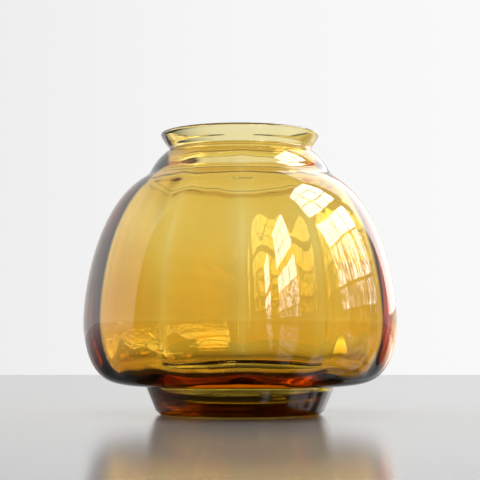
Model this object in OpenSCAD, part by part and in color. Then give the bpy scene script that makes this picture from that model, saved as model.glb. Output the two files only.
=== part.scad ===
// Lobed glass vase: flared collar, stepped shoulder ring, lobed body and hollow foot.
// Millimetres, +Z up. The origin is on the vase's axis, on the surface that it stands on.

/* [Body] */
// Widest diameter of the body, over the lobes
body_d = 180; // [165:1:200]
// Height of the widest level
belly_z = 52.5; // [50:0.5:56]
// Rise of the upper curve, from the widest level to its pole
crown_rise = 91.3; // [88:0.1:94]
// Power of the height in the upper curve
crown_power_z = 1.68; // [1.6:0.01:1.8]
// Power of the radius in the upper curve
crown_power_r = 3.96; // [3.7:0.01:4.2]
// Drop of the lower curve, from the widest level to its pole
keel_drop = 36.6; // [35:0.1:38]
// Power of the height in the lower curve
keel_power_z = 1.84; // [1.75:0.01:1.95]
// Power of the radius in the lower curve
keel_power_r = 10.2; // [9:0.1:11]

/* [Lobes] */
// Number of lobes around the body
lobe_count = 12; // [8:1:14]
// Depth of a groove between two lobes, low on the outside
groove_depth = 1.6; // [0.8:0.1:2.4]
// Share of that depth which is left on the outside above the widest level
upper_share = 0.2; // [0.1:0.05:1]
// Height above which the outside has its shallow grooves
calm_z = 55; // [45:1:80]
// Height below which the outside has its full grooves
deep_z = 26; // [24:1:35]
// Narrowness of the grooves
groove_power = 2; // [1:0.5:3]
// Angle of the first groove, to the right of the front
groove_turn = 1; // [-15:1:15]
// Depth of a groove inside the upper body, which thins the wall there
inner_depth = 1.2; // [0.4:0.1:2]
// Share of the inner depth which is left low in the body
low_share = 0.3; // [0:0.05:1]
// Height over which the grooves fade out above the foot
foot_fade = 5; // [4:0.5:12]

/* [Shoulder and neck] */
// Diameter of the crease between the shoulder ring and the body
crease_d = 105.2; // [102:0.2:108]
// Outer diameter of the neck's corner, before it is softened
neck_d = 80.6; // [79:0.2:83]
// Height of the neck's narrowest level
neck_z = 152.2; // [151:0.1:153.5]
// Outward bow of the shoulder ring's side
shoulder_bow = 1.5; // [1:0.1:2]
// Reach of the soft corner at the crease, on the outside
crease_round = 4; // [1:0.5:5]
// Reach of the soft corner at the neck, on the outside
neck_round = 2; // [1:0.5:4]
// Reach of the soft corner at the crease, on the inside
inner_crease_round = 14; // [4:0.5:14.5]
// Reach of the soft corner at the neck, on the inside
inner_neck_round = 6; // [3:0.5:6.5]

/* [Collar] */
// Height of the vase, to the top of the lip
vase_h = 161.8; // [160.5:0.1:163]
// Outer diameter of the lip
rim_d = 91.6; // [90:0.2:93]
// Outward bow of the collar's side
collar_bow = 0.5; // [0.2:0.1:0.8]

/* [Foot] */
// Diameter of the foot where it meets the body
foot_top_d = 108; // [104:1:112]
// Lean of the foot's side from the vertical, in degrees
foot_taper = 22.5; // [18:0.5:26]
// Radius of the rounded heel
heel_r = 5; // [3:0.1:6]
// Width of the flat ring that the vase stands on
rest_w = 4; // [3:0.5:6]
// Rise of the hollow under the foot
kick_rise = 1.6; // [0.5:0.1:2.5]
// Diameter of the well inside the foot, at its top
well_d = 93; // [90:1:96]

/* [Wall] */
// Thickness of the lip
rim_wall = 2.8; // [2.4:0.1:3.2]
// Thickness of the neck, between its corners
neck_wall = 4.3; // [3.6:0.1:4.6]
// Thickness of the wall at the shoulder crease
shoulder_wall = 3.8; // [3.2:0.1:4.2]
// Thickness of the wall over a lobe, at the widest level
belly_wall = 5.5; // [5:0.1:8]
// Thickness of the wall under the body
keel_wall = 7; // [6.4:0.1:9]
// How soon the wall thins above the widest level
crown_taper = 1.6; // [1.2:0.1:1.8]
// Thickness of the floor of the well
floor_wall = 6; // [5:0.1:7]

/* [Resolution] */
// Facets across one lobe
lobe_facets = 8; // [6:2:10]
// Rows of facets up the upper curve
crown_rows = 10; // [8:1:12]
// Rows of facets down the lower curve
keel_rows = 7; // [6:1:9]
// Steps in each small curve of a profile
arc_steps = 6; // [5:1:8]
// Steps in each half of a soft corner
bend_steps = 3; // [2:1:4]

/* [Hidden] */
$fn = 96;

collar_colour = [0.90, 0.82, 0.45, 0.55];
shoulder_colour = [0.84, 0.68, 0.26, 0.65];
body_colour = [0.82, 0.60, 0.14, 0.7];
foot_colour = [0.45, 0.24, 0.05, 0.85];

body_r = body_d / 2;
crease_r = crease_d / 2;
neck_r = neck_d / 2;
rim_r = rim_d / 2;
foot_top_r = foot_top_d / 2;
well_r = well_d / 2;
first_groove = groove_turn - 90;

// Angle of the parameter at which a curve's radius has shrunk to r.
function end_angle(r, power_r) = acos(pow(r / body_r, power_r / 2));

// One point [r, z] of the upper or lower curve: a superellipse that starts at the widest level.
function curve_point(u, rise, power_z, power_r) =
    [body_r * pow(cos(u), 2 / power_r), belly_z + rise * pow(sin(u), 2 / power_z)];

// Outward unit normal of the same curve, at the point that curve_point gives.
function curve_normal(u, rise, power_z, power_r) =
    let (
        across = power_r / body_r * pow(cos(u), 2 - 2 / power_r),
        up = power_z / rise * pow(sin(u), 2 - 2 / power_z)
    )
    [across, up] / norm([across, up]);

function mix(a, b, t) = a + (b - a) * t;
function smooth(t) = t * t * (3 - 2 * t);

// Points from a to b, bowed sideways by rise at the middle. A positive rise bows to the right.
function bow(a, b, rise, steps) =
    let (across = [b[1] - a[1], a[0] - b[0]] / norm(b - a))
    [for (i = [0:steps]) let (t = i / steps) mix(a, b, t) + across * rise * 4 * t * (1 - t)];

// Points of an arc about c, from angle a0 to angle a1.
function arc(c, r, a0, a1, steps) =
    [for (i = [0:steps]) let (a = mix(a0, a1, i / steps)) c + r * [cos(a), sin(a)]];

// The list of points without its first reach millimetres.
function cut_back(list, reach, k = 1) =
    let (span = norm(list[k] - list[k - 1]))
    span < reach ? cut_back(list, reach - span, k + 1)
    : concat([mix(list[k - 1], list[k], reach / span)], [for (i = [k:len(list) - 1]) list[i]]);

// Half of a soft corner, from its start to its middle.
function half_bend(start, corner, end, steps) =
    [for (i = [0:steps]) let (t = i / steps / 2)
        mix(mix(start, corner, t), mix(corner, end, t), t)];

// Curve a without its corner, which is its last point: the corner is softened towards curve b.
function softened(a, b, reach) =
    let (
        kept = cut_back(reversed(a), reach),
        bend = half_bend(kept[0], b[0], cut_back(b, reach)[0], bend_steps)
    )
    concat(reversed(kept), without_first(bend));

function reversed(list) = [for (i = [len(list) - 1:-1:0]) list[i]];
function without_first(list) = [for (i = [1:len(list) - 1]) list[i]];
function without_last(list) = [for (i = [0:len(list) - 2]) list[i]];

// The seams: the wall is cut at each soft corner, from the middle of the outer corner to the middle
// of the inner one. The shoulder's seam falls inwards by about seam_fall degrees, and the foot's
// rises to the rounded ledge around the well.
seam_fall = 15;
crown_end = end_angle(crease_r, crown_power_r);
keel_end = end_angle(foot_top_r, keel_power_r);
crease = curve_point(crown_end, crown_rise, crown_power_z, crown_power_r);
foot_top = curve_point(keel_end, -keel_drop, keel_power_z, keel_power_r);
neck_outer = [neck_r, neck_z];
neck_inner = [neck_r - neck_wall, neck_z];
crease_inner = crease - shoulder_wall * [cos(seam_fall), sin(seam_fall)];
ledge_r = 3.2;
lip_r = rim_wall / 2;
lip_centre = [rim_r - lip_r, vase_h - lip_r];
well_top = [well_r, foot_top[1] + keel_wall - ledge_r];

// The body's wall. It thickens from the shoulder to the belly and on to the underside.
function crown_angle(i) = crown_end * i / crown_rows;
function keel_angle(i) = keel_end * i / keel_rows;
function crown_outer(i) = curve_point(crown_angle(i), crown_rise, crown_power_z, crown_power_r);
function keel_outer(i) = curve_point(keel_angle(i), -keel_drop, keel_power_z, keel_power_r);
function crown_inner(i) =
    crown_outer(i) - mix(belly_wall, shoulder_wall, smooth(min(1, crown_taper * i / crown_rows)))
    * curve_normal(crown_angle(i), crown_rise, crown_power_z, crown_power_r);
function keel_inner(i) =
    let (n = curve_normal(keel_angle(i), keel_drop, keel_power_z, keel_power_r))
    keel_outer(i) - mix(belly_wall, keel_wall, i / keel_rows) * [n[0], -n[1]];

// Sharp-cornered curves. The outer ones run up and the inner ones run down.
keel_to_crease = concat(
    [for (i = [keel_rows:-1:0]) keel_outer(i)],
    [for (i = [1:crown_rows]) crown_outer(i)]
);
crease_to_neck = reversed(bow(neck_outer, crease, -shoulder_bow, arc_steps));
neck_to_lip = bow(neck_outer, lip_centre + [lip_r, 0], collar_bow, arc_steps);
lip_to_neck = bow(lip_centre - [lip_r, 0], neck_inner, -collar_bow, arc_steps);
neck_to_crease = bow(neck_inner, crease_inner, -shoulder_bow, arc_steps);
crease_to_well = concat(
    [crease_inner],
    [for (i = [crown_rows - 1:-1:0]) crown_inner(i)],
    [for (i = [1:keel_rows - 1]) keel_inner(i)],
    arc(well_top + [ledge_r, 0], ledge_r, 90, 180, arc_steps / 2)
);

body_outer = softened(keel_to_crease, crease_to_neck, crease_round);
body_inner = reversed(softened(reversed(crease_to_well), reversed(neck_to_crease), inner_crease_round));
shoulder_outer = reversed(softened(
    reversed(softened(crease_to_neck, neck_to_lip, neck_round)),
    reversed(keel_to_crease), crease_round
));
shoulder_inner = softened(
    reversed(softened(reversed(neck_to_crease), reversed(lip_to_neck), inner_neck_round)),
    crease_to_well, inner_crease_round
);
collar_outer = reversed(softened(reversed(neck_to_lip), reversed(crease_to_neck), neck_round));
collar_inner = softened(lip_to_neck, neck_to_crease, inner_neck_round);

// The relief fades out towards the round neck and the round foot.
neck_fade = 2 * (neck_z - crease[1]);
function clamp(t) = max(0, min(1, t));
function relief_share(z) =
    smooth(clamp(min((neck_z - z) / neck_fade, (z - well_top[1]) / foot_fade)));
function lowness(z) = smooth(clamp((calm_z - z) / (calm_z - deep_z)));

// Depth of the grooves at height z. On the inside it is negative: the surface gives way outwards.
function outer_groove(z) = groove_depth * mix(upper_share, 1, lowness(z)) * relief_share(z);
function inner_groove(z) = -inner_depth * mix(1, low_share, lowness(z)) * relief_share(z);

// Radius of a lobed ring at angle a from the first groove.
function lobed_radius(r, depth, a) =
    r * (1 - depth / body_r * pow((1 + cos(lobe_count * a)) / 2, groove_power));

// One closed shell: outer points run up, inner points run down, and both follow the lobes.
module lobed_shell(outer, inner) {
    stations = concat(
        [for (p = outer) [p[0], p[1], outer_groove(p[1])]],
        [for (p = inner) [p[0], p[1], inner_groove(p[1])]]
    );
    rings = len(stations);
    sides = lobe_count * lobe_facets;
    points = [
        for (s = stations, j = [0:sides - 1])
            let (
                a = 360 * j / sides,
                r = lobed_radius(s[0], s[2], a)
            )
            [r * cos(a + first_groove), r * sin(a + first_groove), s[1]]
    ];
    function at(i, j) = (i % rings) * sides + j % sides;
    faces = [
        for (i = [0:rings - 1], j = [0:sides - 1], half = [0, 1])
            half == 0 ? [at(i, j), at(i + 1, j + 1), at(i, j + 1)]
            : [at(i, j), at(i + 1, j), at(i + 1, j + 1)]
    ];
    polyhedron(points = points, faces = faces);
}

module flared_collar() {
    color(collar_colour) rotate_extrude() polygon(concat(
        without_last(collar_outer),
        arc(lip_centre, lip_r, 0, 180, arc_steps),
        without_first(collar_inner)
    ));
}

module shoulder_ring() {
    color(shoulder_colour) lobed_shell(shoulder_outer, shoulder_inner);
}

module lobed_body() {
    color(body_colour) lobed_shell(body_outer, body_inner);
}

module foot() {
    well_power = 0.35;
    well_depth = well_top[1] - floor_wall - kick_rise;
    side_h = foot_top[1] - heel_r * (1 - sin(foot_taper));
    rest_r = foot_top_r - side_h * tan(foot_taper) - heel_r * cos(foot_taper);
    kick_r = rest_r - rest_w;
    well = [
        for (i = [0:2 * arc_steps])
            let (v = 90 * i / arc_steps / 2)
            [well_r * pow(cos(v), well_power), well_top[1] - well_depth * sin(v)]
    ];
    color(foot_colour) rotate_extrude() polygon(concat(
        [foot_top],
        well,
        [for (i = [0:arc_steps]) let (t = i / arc_steps) [kick_r * t, kick_rise * (1 - t * t)]],
        arc([rest_r, heel_r], heel_r, -90, -foot_taper, arc_steps)
    ));
}

flared_collar();
shoulder_ring();
lobed_body();
foot();
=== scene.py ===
"""A lobed amber glass vase on a pale table, in soft window light. Blender 4.5, metres, +Z up."""

import math

import bpy
import numpy as np
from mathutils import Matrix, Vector, noise


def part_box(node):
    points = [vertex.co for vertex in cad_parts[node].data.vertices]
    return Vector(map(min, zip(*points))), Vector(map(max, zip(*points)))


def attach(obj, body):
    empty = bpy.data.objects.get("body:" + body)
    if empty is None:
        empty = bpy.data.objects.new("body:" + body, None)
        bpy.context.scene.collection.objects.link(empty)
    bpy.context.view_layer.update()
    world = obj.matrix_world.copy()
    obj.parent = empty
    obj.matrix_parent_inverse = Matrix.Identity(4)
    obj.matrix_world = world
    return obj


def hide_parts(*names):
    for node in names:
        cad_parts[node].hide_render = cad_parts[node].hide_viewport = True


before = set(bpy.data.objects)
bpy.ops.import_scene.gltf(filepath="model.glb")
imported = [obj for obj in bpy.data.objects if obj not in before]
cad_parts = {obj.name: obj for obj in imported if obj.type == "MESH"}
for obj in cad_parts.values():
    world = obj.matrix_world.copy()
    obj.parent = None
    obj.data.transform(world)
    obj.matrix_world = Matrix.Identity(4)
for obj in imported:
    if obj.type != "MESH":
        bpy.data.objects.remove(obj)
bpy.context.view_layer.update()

# ---------------------------------------------------------------- sizes, in metres
collar_low, collar_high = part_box("flared_collar")
foot_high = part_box("foot")[1]
VASE_H = collar_high.z
RIM_R = collar_high.x
NECK_Z = collar_low.z
FOOT_TOP_R = foot_high.x
FOOT_TOP_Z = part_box("lobed_body")[0].z

BODY_R = 0.090         # radius of the widest level, before the grooves between the lobes are cut
BELLY_Z = 0.0525       # height of that level
# Superellipses above and below it: height, exponent along z, exponent along r.
CROWN_RISE, CROWN_PZ, CROWN_PR = 0.0913, 1.68, 3.96
KEEL_DROP, KEEL_PZ, KEEL_PR = 0.0366, 1.84, 10.2
# Grooves: how many, how sharp, turned by how many degrees, how deep outside and inside.
LOBES, GROOVE_POWER, GROOVE_TURN = 12, 2.0, 1.0
GROOVE, INNER_GROOVE, UPPER_SHARE, LOW_SHARE = 0.0016, 0.0012, 0.2, 0.3
CALM_Z, DEEP_Z, FOOT_FADE = 0.055, 0.026, 0.005
CREASE_R, NECK_R = 0.0526, 0.0403
SHOULDER_BOW, COLLAR_BOW = 0.0015, 0.0005
RIM_WALL, NECK_WALL, SHOULDER_WALL = 0.0028, 0.0043, 0.0038
BELLY_WALL, KEEL_WALL, CROWN_TAPER = 0.0055, 0.0070, 1.6
SEAM_FALL = math.radians(15)
LEDGE_R, WELL_R, WELL_POWER = 0.0032, 0.0465, 0.35
FLOOR_WALL, KICK_RISE = 0.006, 0.0016
HEEL_R, FOOT_TAPER, REST_W = 0.005, math.radians(22.5), 0.004
LAP = 0.00001          # how far a piece reaches past its seam, so that no air lies between two pieces
AROUND = 288           # points round each ring
KEEL_N, CROWN_N, SHOULDER_N, COLLAR_N = 44, 66, 36, 20        # steps along each curve
LIP_N, LEDGE_N, ROUND_N = 8, 12, 10
UNDER_N, HEEL_N, SIDE_N, WELL_N = 26, 14, 14, 60
LEDGE_GAP = 3          # inner steps of the keel that the ledge takes the place of
FAN_SHARE = 0.02       # share of the hollow's radius that the fan in its middle covers
WELL_END = math.radians(89.9)      # the well's curve stops just short of the axis
CREASE_ROUND, NECK_ROUND, INNER_CREASE_ROUND, INNER_NECK_ROUND = 0.0040, 0.0020, 0.0140, 0.0060
# Unevenness of the glass: how far it moves a point, and over what distance it changes.
COLLAR_WAVE, SHOULDER_WAVE, BODY_WAVE, FOOT_WAVE, SKIN_WAVE = 0.00008, 0.00012, 0.00014, 0.00015, 0.00001
LONG_REACH, SHORT_REACH, SKIN_REACH, FOOT_REACH = 0.034, 0.013, 0.022, 0.02
SHORT_SHARE, UPRIGHT_SHARE = 0.4, 0.6
SEAM_FADE, WELL_CALM, WELL_FADE = 8, 8, 16         # rows over which it sets in, or that it leaves out


# ---------------------------------------------------------------- profiles
def curve_point(u, rise, pz, pr):
    """Point of a superellipse at angle u above the widest level, or below it if rise is negative."""
    return np.array([BODY_R * math.cos(u) ** (2 / pr), BELLY_Z + rise * math.sin(u) ** (2 / pz)])


def curve_normal(u, rise, pz, pr):
    """Direction straight out of the upper curve at that point."""
    across = pr / BODY_R * math.cos(u) ** (2 - 2 / pr)
    up = pz / rise * math.sin(u) ** (2 - 2 / pz)
    return np.array([across, up]) / math.hypot(across, up)


def end_angle(r, pr):
    """Angle at which the curve has come in to radius r."""
    return math.acos((r / BODY_R) ** (pr / 2))


def mix(a, b, t):
    return a + (b - a) * t


def smooth(t):
    t = min(1.0, max(0.0, t))
    return t * t * (3 - 2 * t)


def bow(a, b, rise, steps):
    """Points from a to b, bowed to the right of that direction by rise at the middle."""
    a, b = np.array(a), np.array(b)
    across = np.array([b[1] - a[1], a[0] - b[0]]) / np.linalg.norm(b - a)
    return [mix(a, b, i / steps) + across * rise * 4 * (i / steps) * (1 - i / steps)
            for i in range(steps + 1)]


def arc(c, r, a0, a1, steps):
    return [np.array(c) + r * np.array([math.cos(mix(a0, a1, i / steps)), math.sin(mix(a0, a1, i / steps))])
            for i in range(steps + 1)]


crown_end = end_angle(CREASE_R, CROWN_PR)
keel_end = end_angle(FOOT_TOP_R, KEEL_PR)
crease = curve_point(crown_end, CROWN_RISE, CROWN_PZ, CROWN_PR)
foot_top = np.array([FOOT_TOP_R, FOOT_TOP_Z])
neck_out, neck_in = np.array([NECK_R, NECK_Z]), np.array([NECK_R - NECK_WALL, NECK_Z])
crease_in = crease - SHOULDER_WALL * np.array([math.cos(SEAM_FALL), math.sin(SEAM_FALL)])
well_top = np.array([WELL_R, FOOT_TOP_Z + KEEL_WALL - LEDGE_R])
relief_fade = 2 * (NECK_Z - crease[1])     # height below the neck over which the grooves set in


def crown(i, steps):
    """Outer and inner point of the wall above the widest level."""
    u = crown_end * i / steps
    out = curve_point(u, CROWN_RISE, CROWN_PZ, CROWN_PR)
    wall = mix(BELLY_WALL, SHOULDER_WALL, smooth(CROWN_TAPER * i / steps))
    return out, out - wall * curve_normal(u, CROWN_RISE, CROWN_PZ, CROWN_PR)


def keel(i, steps):
    """Outer and inner point of the wall below the widest level."""
    u = keel_end * i / steps
    out = curve_point(u, -KEEL_DROP, KEEL_PZ, KEEL_PR)
    n = curve_normal(u, KEEL_DROP, KEEL_PZ, KEEL_PR) * np.array([1, -1])
    return out, out - mix(BELLY_WALL, KEEL_WALL, i / steps) * n


def rounded(a, b, reach):
    """Curves a and b, which meet in a corner, cut back by reach and joined by a bend; each keeps half
    of it."""
    def cut(points):                       # the corner is the first point
        left = reach
        for k in range(1, len(points)):
            span = np.linalg.norm(points[k] - points[k - 1])
            if span >= left:
                return [mix(points[k - 1], points[k], left / span)] + points[k:]
            left -= span
        raise ValueError("a curve is shorter than the rounding of its corner")
    corner, a, b = b[0], cut(a[::-1])[::-1], cut(b)
    start, end = a[-1], b[0]
    bend = [mix(mix(start, corner, t), mix(corner, end, t), t) for t in np.linspace(0, 1, 2 * ROUND_N + 1)]
    return a + bend[1:ROUND_N + 1], bend[ROUND_N:-1] + b


def relief_share(z):
    """The grooves die out towards the neck and towards the foot."""
    return smooth(min((NECK_Z - z) / relief_fade, (z - well_top[1]) / FOOT_FADE))


def groove_depth(z, outside):
    """The outside is nearly round above the belly and lobed below it. The inside is the other way
    round, and gives way outwards, so that the wall is thin in a groove."""
    low = smooth((CALM_Z - z) / (CALM_Z - DEEP_Z))
    depth = GROOVE * mix(UPPER_SHARE, 1.0, low) if outside else -INNER_GROOVE * mix(1.0, LOW_SHARE, low)
    return depth * relief_share(z)


# ---------------------------------------------------------------- meshes
def waviness(p, reach):
    """Slow unevenness of hand-blown glass, from -1 to 1, the same on every run."""
    return noise.noise(Vector(p) / reach)


def shell(name, outer, inner, wave, lobed=True):
    """Closed shell of revolution: outer points run up, inner points run down. The last outer and first
    inner point make one seam, and the last inner and first outer point make the other."""
    a = np.arange(AROUND) * 2 * math.pi / AROUND
    turn = math.radians(GROOVE_TURN - 90)
    groove = ((1 + np.cos(LOBES * a)) / 2) ** GROOVE_POWER
    verts, stations = [], [(p, 1) for p in outer] + [(p, -1) for p in inner]
    n_out, n_in = len(outer), len(inner)
    for k, (p, side) in enumerate(stations):
        depth = groove_depth(p[1], side > 0) if lobed else 0.0
        ring_r = p[0] * (1 - depth / BODY_R * groove)
        i = k if k < n_out else k - n_out
        n = n_out if k < n_out else n_in
        away = smooth(min(i, n - 1 - i) / SEAM_FADE)          # seams keep their exact circle
        for j in range(AROUND):
            x, y = math.cos(a[j] + turn), math.sin(a[j] + turn)
            r = ring_r[j]
            here = (r * x, r * y, p[1] * UPRIGHT_SHARE)
            if side > 0:
                r += SKIN_WAVE * away * waviness(here, SKIN_REACH)
            else:
                r += wave * away * (waviness(here, LONG_REACH) + SHORT_SHARE * waviness(here, SHORT_REACH))
            verts.append((r * x, r * y, p[1]))
    rings = len(stations)
    faces = []
    for i in range(rings):
        for j in range(AROUND):
            i2, j2 = (i + 1) % rings, (j + 1) % AROUND
            faces.append((i * AROUND + j, i * AROUND + j2, i2 * AROUND + j2, i2 * AROUND + j))
    return make(name, verts, faces, {0, n_out - 1, n_out, rings - 1})


def make(name, verts, faces, sharp_rings):
    """Smooth mesh object with a sharp edge round each of the given rings."""
    mesh = bpy.data.meshes.new(name)
    mesh.from_pydata(verts, [], faces)
    mesh.validate()
    mesh.polygons.foreach_set("use_smooth", [True] * len(mesh.polygons))
    sharp = mesh.attributes.new("sharp_edge", "BOOLEAN", "EDGE")
    for e in mesh.edges:
        v0, v1 = e.vertices
        if v0 // AROUND == v1 // AROUND and v0 // AROUND in sharp_rings:
            sharp.data[e.index].value = True
    mesh.update()
    obj = bpy.data.objects.new(name, mesh)
    bpy.context.scene.collection.objects.link(obj)
    return obj


def shifted(p, dz):
    return np.array([p[0], p[1] + dz])


def upper_curves():
    """Outer and inner curve of the body, shoulder and collar, with their corners rounded."""
    lip_r = RIM_WALL / 2
    c = np.array([RIM_R - lip_r, VASE_H - lip_r])
    body = [keel(i, KEEL_N)[0] for i in range(KEEL_N, 0, -1)]
    body += [crown(i, CROWN_N)[0] for i in range(CROWN_N + 1)]
    shoulder = bow(neck_out, crease, -SHOULDER_BOW, SHOULDER_N)[::-1]
    collar = bow(neck_out, c + [lip_r, 0], COLLAR_BOW, COLLAR_N)[:-1]
    collar += arc(c, lip_r, 0, math.pi / 2, LIP_N)
    body, shoulder = rounded(body, shoulder, CREASE_ROUND)
    shoulder, collar = rounded(shoulder, collar, NECK_ROUND)
    outer = {"body": body, "shoulder": shoulder, "collar": collar}
    collar = arc(c, lip_r, math.pi / 2, math.pi, LIP_N)[1:]
    collar += bow(c - [lip_r, 0], neck_in, -COLLAR_BOW, COLLAR_N)[1:]
    shoulder = bow(neck_in, crease_in, -SHOULDER_BOW, SHOULDER_N)
    body = [crease_in] + [crown(i, CROWN_N)[1] for i in range(CROWN_N - 1, -1, -1)]
    body += [keel(i, KEEL_N)[1] for i in range(1, KEEL_N - LEDGE_GAP)]
    body += arc(well_top + [LEDGE_R, 0], LEDGE_R, math.pi / 2, math.pi, LEDGE_N)
    collar, shoulder = rounded(collar, shoulder, INNER_NECK_ROUND)
    shoulder, body = rounded(shoulder, body, INNER_CREASE_ROUND)
    return outer, {"body": body, "shoulder": shoulder, "collar": collar}


def band_glass(name, outer, inner, foot_end, rim_end, **finish):
    """One piece of the wall, reaching LAP past each seam that it ends in."""
    outer, inner = list(outer), list(inner)
    if foot_end:
        outer[0], inner[-1] = shifted(outer[0], -LAP), shifted(inner[-1], -LAP)
    if rim_end:
        outer[-1], inner[0] = shifted(outer[-1], LAP), shifted(inner[0], LAP)
    return shell(name, outer, inner, **finish)


def foot_glass():
    """The foot: hollow underneath, heel, tapered side and well, closed by a fan of faces at each end."""
    side_h = foot_top[1] - HEEL_R * (1 - math.sin(FOOT_TAPER))
    rest_r = foot_top[0] - side_h * math.tan(FOOT_TAPER) - HEEL_R * math.cos(FOOT_TAPER)
    kick_r = rest_r - REST_W
    well_depth = well_top[1] - FLOOR_WALL - KICK_RISE
    under = [np.array([kick_r * t, KICK_RISE * (1 - t * t)]) for t in np.linspace(FAN_SHARE, 1, UNDER_N)]
    heel = arc([rest_r, HEEL_R], HEEL_R, -math.pi / 2, -FOOT_TAPER, HEEL_N)
    side = [mix(heel[-1], foot_top, t) for t in np.linspace(0, 1, SIDE_N)[1:]]
    well = [np.array([WELL_R * math.cos(v) ** WELL_POWER, well_top[1] - well_depth * math.sin(v)])
            for v in np.linspace(0, WELL_END, WELL_N)]
    side[-1], well[0] = shifted(side[-1], LAP), shifted(well[0], LAP)
    a = np.arange(AROUND) * 2 * math.pi / AROUND + math.radians(GROOVE_TURN - 90)
    verts = []
    profile = under + heel[1:] + side + well
    n_out = len(under) + len(heel) - 1 + len(side)
    for k, p in enumerate(profile):
        for t in a:
            r = p[0]
            if k > n_out + WELL_CALM:
                here = (r * math.cos(t), r * math.sin(t), p[1])
                r += FOOT_WAVE * smooth((k - n_out) / WELL_FADE) * waviness(here, FOOT_REACH)
            verts.append((r * math.cos(t), r * math.sin(t), p[1]))
    faces = []
    for i in range(len(profile) - 1):
        for j in range(AROUND):
            j2 = (j + 1) % AROUND
            faces.append((i * AROUND + j, i * AROUND + j2, (i + 1) * AROUND + j2, (i + 1) * AROUND + j))
    low, high = len(verts), len(verts) + 1
    verts += [(0, 0, KICK_RISE), (0, 0, profile[-1][1])]
    last = (len(profile) - 1) * AROUND
    for j in range(AROUND):
        j2 = (j + 1) % AROUND
        faces.append((low, j2, j))
        faces.append((high, last + j, last + j2))
    return make("foot_glass", verts, faces, {len(under) - 1, n_out - 1, n_out})


# ---------------------------------------------------------------- materials
def nodes_of(material):
    material.use_nodes = True
    tree = material.node_tree
    tree.nodes.clear()
    return tree, tree.nodes, tree.links


def add(nodes, kind, **values):
    """New node. A name that starts with "_" sets a property; any other sets the input of that name."""
    node = nodes.new(kind)
    for key, value in values.items():
        if key.startswith("_"):
            setattr(node, key[1:], value)
        else:
            node.inputs[key].default_value = value
    return node


def remap(tree, source, low, high, to_low=0.0, to_high=1.0, kind="LINEAR"):
    """The source's values from low to high, as values from to_low to to_high."""
    node = add(tree.nodes, "ShaderNodeMapRange", _interpolation_type=kind)
    for key, value in (("From Min", low), ("From Max", high), ("To Min", to_low), ("To Max", to_high)):
        node.inputs[key].default_value = value
    tree.links.new(source, node.inputs["Value"])
    return node.outputs["Result"]


def combine(tree, operation, first, second):
    """The result of a maths operation on two values."""
    node = add(tree.nodes, "ShaderNodeMath", _operation=operation)
    tree.links.new(first, node.inputs[0])
    tree.links.new(second, node.inputs[1])
    return node.outputs[0]


def towards(tree, share, colour, other, kind="MIX"):
    """The colour, taken towards the other by the share."""
    node = add(tree.nodes, "ShaderNodeMix", _data_type="RGBA", _blend_type=kind)
    tree.links.new(share, node.inputs["Factor"])
    tree.links.new(colour, node.inputs["A"])
    node.inputs["B"].default_value = other
    return node.outputs["Result"]


def amber_glass(name, density, streak, tone):
    """Blown amber glass: absorbs blue through its thickness, with faint streaks, and a soft mould skin."""
    m = bpy.data.materials.new(name)
    tree, nodes, links = nodes_of(m)
    out = add(nodes, "ShaderNodeOutputMaterial")
    bsdf = add(nodes, "ShaderNodeBsdfPrincipled", IOR=1.51)
    bsdf.inputs["Transmission Weight"].default_value = 1.0
    links.new(bsdf.outputs[0], out.inputs["Surface"])
    volume = add(nodes, "ShaderNodeVolumeAbsorption", Color=tone, Density=density)
    links.new(volume.outputs[0], out.inputs["Volume"])
    place = add(nodes, "ShaderNodeTexCoord")
    stretch = add(nodes, "ShaderNodeMapping")
    stretch.inputs["Scale"].default_value = (1, 1, 0.18)
    links.new(place.outputs["Object"], stretch.inputs["Vector"])
    cords = add(nodes, "ShaderNodeTexNoise", Scale=70.0, Detail=3.0, Distortion=0.6)
    links.new(stretch.outputs[0], cords.inputs["Vector"])
    tint = add(nodes, "ShaderNodeValToRGB")
    tint.color_ramp.elements[0].position, tint.color_ramp.elements[1].position = 0.3, 0.75
    tint.color_ramp.elements[0].color = (1, 1, 1, 1)
    tint.color_ramp.elements[1].color = (*streak, 1)
    links.new(cords.outputs["Fac"], tint.inputs["Fac"])
    links.new(tint.outputs["Color"], bsdf.inputs["Base Color"])
    film = add(nodes, "ShaderNodeTexNoise", Scale=26.0, Detail=4.0)
    links.new(place.outputs["Object"], film.inputs["Vector"])
    rough = remap(tree, film.outputs["Fac"], 0.45, 0.8, 0.0, 0.012)
    links.new(rough, bsdf.inputs["Roughness"])
    skin = add(nodes, "ShaderNodeTexNoise", Scale=55.0, Detail=2.0)
    links.new(place.outputs["Object"], skin.inputs["Vector"])
    bump = add(nodes, "ShaderNodeBump", Strength=0.07, Distance=0.0006)
    links.new(skin.outputs["Fac"], bump.inputs["Height"])
    links.new(bump.outputs["Normal"], bsdf.inputs["Normal"])
    return m


collar_material = amber_glass("amber_glass_collar", 280.0, (1.0, 0.985, 0.94), (0.957, 0.821, 0.036, 1))
body_material = amber_glass("amber_glass", 300.0, (1.0, 0.98, 0.93), (0.955, 0.80, 0.036, 1))
foot_material = amber_glass("amber_glass_foot", 180.0, (1.0, 0.975, 0.92), (0.84, 0.755, 0.1, 1))

outer_curve, inner_curve = upper_curves()
pieces = (
    (band_glass("collar_glass", outer_curve["collar"], inner_curve["collar"], True, False,
                wave=COLLAR_WAVE, lobed=False), "flared_collar", collar_material, "amber_glass_collar"),
    (band_glass("shoulder_glass", outer_curve["shoulder"], inner_curve["shoulder"], True, True,
                wave=SHOULDER_WAVE), "shoulder_ring", body_material, "amber_glass"),
    (band_glass("body_glass", outer_curve["body"], inner_curve["body"], True, True,
                wave=BODY_WAVE), "lobed_body", body_material, "amber_glass"),
    (foot_glass(), "foot", foot_material, "amber_glass_foot"))
for piece, node, material, slot in pieces:
    piece.data.materials.append(material)
    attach(piece, "root")
    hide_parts(node)

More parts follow.
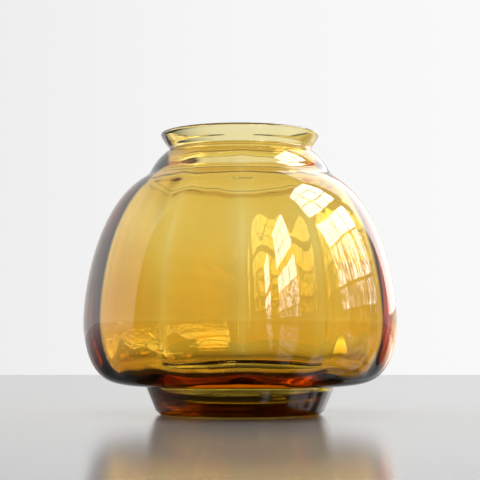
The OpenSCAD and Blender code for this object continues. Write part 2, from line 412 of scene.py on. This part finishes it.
# The hidden CAD nodes carry the same glass.
for _, node, material, _ in pieces:
    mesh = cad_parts[node].data
    mesh.materials.clear()
    mesh.materials.append(material)


# ---------------------------------------------------------------- table
def table_top():
    """Pale table. Only the camera and diffuse light find it pale, which isn't physical: every other ray
    finds it dark, because a pale table makes the base of the glass far too bright."""
    mesh = bpy.data.meshes.new("table_top")
    x0, x1, y0, y1 = -3.0, 3.0, -3.0, 0.86
    mesh.from_pydata([(x0, y0, 0), (x1, y0, 0), (x1, y1, 0), (x0, y1, 0)], [], [(0, 1, 2, 3)])
    obj = bpy.data.objects.new("table_top", mesh)
    bpy.context.scene.collection.objects.link(obj)
    m = bpy.data.materials.new("pale_table")
    tree, nodes, links = nodes_of(m)
    out = add(nodes, "ShaderNodeOutputMaterial")
    bsdf = add(nodes, "ShaderNodeBsdfPrincipled", Roughness=0.14)
    dark = add(nodes, "ShaderNodeBsdfPrincipled", Roughness=0.1)
    dark.inputs["Base Color"].default_value = (0.035, 0.03, 0.027, 1)
    path = add(nodes, "ShaderNodeLightPath")
    direct = combine(tree, "MAXIMUM", path.outputs["Is Camera Ray"], path.outputs["Is Diffuse Ray"])
    pick = add(nodes, "ShaderNodeMixShader")
    links.new(direct, pick.inputs[0])
    links.new(dark.outputs[0], pick.inputs[1])
    links.new(bsdf.outputs[0], pick.inputs[2])
    links.new(pick.outputs[0], out.inputs["Surface"])
    place = add(nodes, "ShaderNodeTexCoord")
    grain = add(nodes, "ShaderNodeTexNoise", Scale=9.0, Detail=5.0)
    links.new(place.outputs["Object"], grain.inputs["Vector"])
    tone = add(nodes, "ShaderNodeValToRGB")
    tone.color_ramp.elements[0].color = (0.37, 0.365, 0.36, 1)
    tone.color_ramp.elements[1].color = (0.43, 0.425, 0.42, 1)
    links.new(grain.outputs["Fac"], tone.inputs["Fac"])
    links.new(tone.outputs["Color"], bsdf.inputs["Base Color"])
    mesh.materials.append(m)
    return obj


table_top()


# ---------------------------------------------------------------- light
VASE_MIDDLE = (0, 0, 0.07)
WINDOW_WALL = 2.0      # distance of the wall on the right
WINDOW_SPANS = [(-0.60, 1.20), (-3.87, -2.07), (-7.14, -5.34)]     # the two sides (y) of each window
PANES_ACROSS, WINDOW_BAR = 3, 0.05
SKY, LOW_SKY = 14.0, 4.0
# Rows of panes from the table up: low edge, high edge, brightness, and how much the trees cover.
PANE_ROWS = [(0.02, 0.30, LOW_SKY, 0.80), (0.30, 0.555, SKY, 0.74), (0.595, 1.15, SKY, 0.66),
             (1.19, 1.71, SKY, 0.48), (2.00, 2.46, SKY, 0.0), (2.51, 3.05, SKY, 0.0), (3.10, 3.66, SKY, 0.0)]
TREE_COVER, TREE_SOFT_LOW, TREE_SOFT_HIGH, TREE_LIGHT = 0.72, 0.02, 0.12, 0.06


def room():
    """World: a bright wall on the left, a backdrop behind the vase, dim walls on the right and in front."""
    world = bpy.data.worlds.new("room")
    bpy.context.scene.world = world
    world.use_nodes = True
    tree = world.node_tree
    nodes, links = tree.nodes, tree.links
    nodes.clear()
    out = add(nodes, "ShaderNodeOutputWorld")
    background = add(nodes, "ShaderNodeBackground", Strength=1.0)
    links.new(background.outputs[0], out.inputs["Surface"])
    place = add(nodes, "ShaderNodeTexCoord")
    split = add(nodes, "ShaderNodeSeparateXYZ")
    links.new(place.outputs["Generated"], split.inputs[0])
    turn = combine(tree, "ARCTAN2", split.outputs["X"], split.outputs["Y"])
    walls = add(nodes, "ShaderNodeValToRGB")
    links.new(remap(tree, turn, -math.pi, math.pi), walls.inputs["Fac"])
    # Direction in degrees from straight behind the vase, positive to the right, and brightness.
    stops = [(-180, 0.2), (-101, 0.22), (-100, 1.75), (-60, 1.5), (-34, 0.95), (-14, 0.83), (0, 0.92),
             (14, 0.96), (45, 0.9), (56, 0.4), (90, 0.3), (179, 0.2)]
    ramp = walls.color_ramp
    while len(ramp.elements) > 1:
        ramp.elements.remove(ramp.elements[-1])
    for k, (angle, value) in enumerate(stops):
        e = ramp.elements[0] if k == 0 else ramp.elements.new(angle / 360 + 0.5)
        e.position = angle / 360 + 0.5
        e.color = (value, value, value, 1)
    above = remap(tree, split.outputs["Z"], 0.55, 0.9, kind="SMOOTHSTEP")
    light = towards(tree, above, walls.outputs["Color"], (0.34, 0.34, 0.34, 1))
    # Not physical: seen through the glass, the foot of every wall is dimmer and warmer.
    path = add(nodes, "ShaderNodeLightPath")
    through = add(nodes, "ShaderNodeMath", _operation="GREATER_THAN")
    through.inputs[1].default_value = 0.5
    links.new(path.outputs["Transmission Depth"], through.inputs[0])
    skirting = remap(tree, split.outputs["Z"], 0.06, -0.05, kind="SMOOTHSTEP")
    warm = combine(tree, "MULTIPLY", through.outputs[0], skirting)
    light = towards(tree, warm, light, (0.84, 0.72, 0.54, 1), "MULTIPLY")
    # Not physical: light that has crossed only one to three surfaces of the glass finds the left dark.
    short = add(nodes, "ShaderNodeMath", _operation="COMPARE")
    short.inputs[1].default_value, short.inputs[2].default_value = 2.0, 1.2
    links.new(path.outputs["Transmission Depth"], short.inputs[0])
    left = remap(tree, split.outputs["X"], -0.02, -0.12, kind="SMOOTHSTEP")
    low = remap(tree, split.outputs["Z"], 0.75, 0.45, kind="SMOOTHSTEP")
    dim = combine(tree, "MULTIPLY", combine(tree, "MULTIPLY", left, low), short.outputs[0])
    light = towards(tree, dim, light, (0.006, 0.006, 0.006, 1))
    links.new(light, background.inputs["Color"])


def softbox(name, centre, size, radiance, diffuse, glossy):
    """Rectangular area light of the given radiance, facing the vase, and unseen through its glass."""
    light = bpy.data.lights.new(name, "AREA")
    light.shape = "RECTANGLE"
    light.size, light.size_y = size
    light.energy = radiance * math.pi * size[0] * size[1]
    light.normalize = True
    obj = bpy.data.objects.new(name, light)
    obj.location = centre
    obj.rotation_euler = (Vector(VASE_MIDDLE) - Vector(centre)).to_track_quat("-Z", "Y").to_euler()
    bpy.context.scene.collection.objects.link(obj)
    obj.visible_camera = False
    obj.visible_diffuse, obj.visible_glossy, obj.visible_transmission = diffuse, glossy, False


def around(beta, distance, z):
    """Place at azimuth beta from the front, positive to the right."""
    b = math.radians(beta)
    return (distance * math.sin(b), -distance * math.cos(b), z)


def pane_light(name, radiance, leaves):
    """Emission of one window pane. Leaves, from 0 to 1, is how much of the sky the trees outside cover."""
    m = bpy.data.materials.new(name)
    tree, nodes, links = nodes_of(m)
    out = add(nodes, "ShaderNodeOutputMaterial")
    glow = add(nodes, "ShaderNodeEmission")
    links.new(glow.outputs[0], out.inputs["Surface"])
    place = add(nodes, "ShaderNodeTexCoord")
    stretch = add(nodes, "ShaderNodeMapping")
    stretch.inputs["Scale"].default_value = (1, 1, 0.28)
    links.new(place.outputs["Object"], stretch.inputs["Vector"])
    twigs = add(nodes, "ShaderNodeTexNoise", Scale=13.0, Detail=7.0, Roughness=0.72, Distortion=1.0)
    links.new(stretch.outputs[0], twigs.inputs["Vector"])
    edge = leaves * TREE_COVER
    sky = remap(tree, twigs.outputs["Fac"], edge - TREE_SOFT_LOW, edge + TREE_SOFT_HIGH,
                radiance * TREE_LIGHT, radiance)
    links.new(sky, glow.inputs["Strength"])
    m.cycles.emission_sampling = "NONE"
    return m


def windows():
    """Tall windows along the wall on the right, one object for each row of panes."""
    for r, (low, high, radiance, leaves) in enumerate(PANE_ROWS):
        verts, faces = [], []
        for side, far_side in WINDOW_SPANS:
            step = (far_side - side) / PANES_ACROSS
            for c in range(PANES_ACROSS):
                left, right = side + c * step + WINDOW_BAR / 2, side + (c + 1) * step - WINDOW_BAR / 2
                k = len(verts)
                corners = ((left, low), (right, low), (right, high), (left, high))
                verts += [(WINDOW_WALL, y, z) for y, z in corners]
                faces.append((k, k + 3, k + 2, k + 1))
        mesh = bpy.data.meshes.new(f"window_row_{r}")
        mesh.from_pydata(verts, [], faces)
        mesh.materials.append(pane_light(f"window_row_{r}", radiance, leaves))
        obj = bpy.data.objects.new(f"window_row_{r}", mesh)
        bpy.context.scene.collection.objects.link(obj)
        obj.visible_camera = obj.visible_diffuse = obj.visible_shadow = False


room()
windows()
softbox("strip_right", around(147, 2.0, 1.25), (1.15, 2.5), 2.6, diffuse=False, glossy=True)
softbox("ceiling", (0.3, -0.2, 2.6), (2.6, 2.6), 1.0, diffuse=True, glossy=False)

# ---------------------------------------------------------------- camera and picture settings
CAMERA_DISTANCE, CAMERA_HEIGHT, CAMERA_TILT = 0.8417, 0.044, 3.8

camera_data = bpy.data.cameras.new("camera")
camera_data.lens = 109.5
camera_data.sensor_width = 36.0
camera_data.clip_start, camera_data.clip_end = 0.01, 50
camera = bpy.data.objects.new("camera", camera_data)
camera.location = (0, -CAMERA_DISTANCE, CAMERA_HEIGHT)
camera.rotation_euler = (math.radians(90 + CAMERA_TILT), 0, 0)
bpy.context.scene.collection.objects.link(camera)
scene = bpy.context.scene
scene.camera = camera
scene.view_settings.view_transform = "Standard"
scene.view_settings.look = "None"
cycles = scene.cycles
cycles.use_denoising = True
cycles.caustics_refractive = True
cycles.caustics_reflective = True
cycles.max_bounces = 24
cycles.transmission_bounces = 24
cycles.glossy_bounces = 8
cycles.diffuse_bounces = 3
cycles.blur_glossy = 0.3
cycles.sample_clamp_indirect = 6.0
